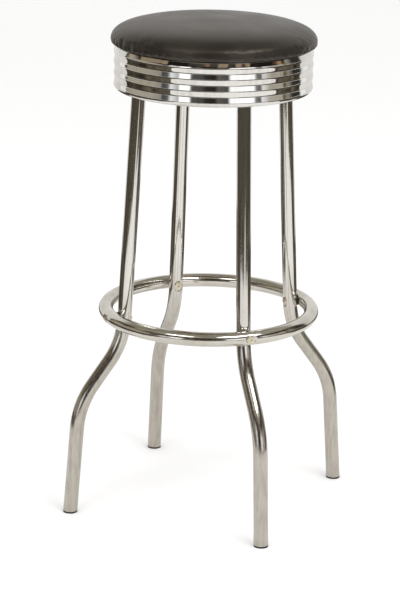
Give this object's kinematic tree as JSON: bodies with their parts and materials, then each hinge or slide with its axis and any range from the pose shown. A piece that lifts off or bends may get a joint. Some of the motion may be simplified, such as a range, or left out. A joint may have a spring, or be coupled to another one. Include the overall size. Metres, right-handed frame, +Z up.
{
  "type": "swivel bar stool",
  "caption": "Bar stool with a round padded vinyl seat that swivels in a ribbed chrome band, on splayed bent chrome tube legs joined by a round tube foot ring.",
  "frame": {"origin": "on the floor, under the centre of the seat", "axes": "+Z up; the legs stand on +X (right), +Y (back), -X (left) and -Y (front)"},
  "size_m": [0.5404, 0.5404, 0.871],
  "materials": {
    "black_vinyl": "soft sheen, fine grain",
    "foam": "open foam",
    "plywood": "raw",
    "staple_wire": "bright",
    "band_chrome": "mirror",
    "leg_chrome": "mirror above, worn satin below",
    "ring_chrome": "worn satin",
    "nickel_fastener": "yellowed satin",
    "zinc_fastener": "zinc plated",
    "zinc_plate": "zinc plated",
    "ball_steel": "polished",
    "black_paint": "semi-gloss",
    "spacer_plastic": "matt",
    "foot_rubber": "matt"
  },
  "bodies": {
    "frame": {"swivel_bottom_plate": "zinc_plate", "swivel_pin": "zinc_fastener", "swivel_washer": "zinc_fastener", "swivel_bolts": "zinc_fastener", "swivel_nuts": "zinc_fastener", "leg_plate": "black_paint", "foot_ring": "ring_chrome", "ring_bolts": "nickel_fastener", "ring_sleeve_nuts": "nickel_fastener", "leg_screws": "zinc_fastener", "leg_washers": "zinc_fastener", "leg_nuts": "zinc_fastener", "leg_right": "leg_chrome", "ring_spacer_right": "spacer_plastic", "foot_plug_right": "foot_rubber", "leg_back": "leg_chrome", "ring_spacer_back": "spacer_plastic", "foot_plug_back": "foot_rubber", "leg_left": "leg_chrome", "ring_spacer_left": "spacer_plastic", "foot_plug_left": "foot_rubber", "leg_front": "leg_chrome", "ring_spacer_front": "spacer_plastic", "foot_plug_front": "foot_rubber"},
    "seat": {"seat_cover": "black_vinyl", "seat_foam": "foam", "pad_board": "plywood", "cover_staples": "staple_wire", "seat_band": "band_chrome", "band_ring": "band_chrome", "base_board": "plywood", "pad_screws": "zinc_fastener", "swivel_top_plate": "zinc_plate", "swivel_top_screws": "zinc_fastener"},
    "ball_ring": {"bearing_balls": "ball_steel", "ball_retainer": "zinc_plate"}
  },
  "joints": [
    {"name": "seat_swivel", "type": "hinge", "parent": "frame", "child": "seat", "pos_m": [0, 0, 0.8028], "axis": [0, 0, 1], "continuous": true},
    {"name": "ball_ring_turn", "type": "hinge", "parent": "frame", "child": "ball_ring", "pos_m": [0, 0, 0.8028], "axis": [0, 0, 1], "continuous": true}
  ],
  "couplings": [
    {"joint": "ball_ring_turn", "follows": "seat_swivel", "ratio": 0.5}
  ]
}
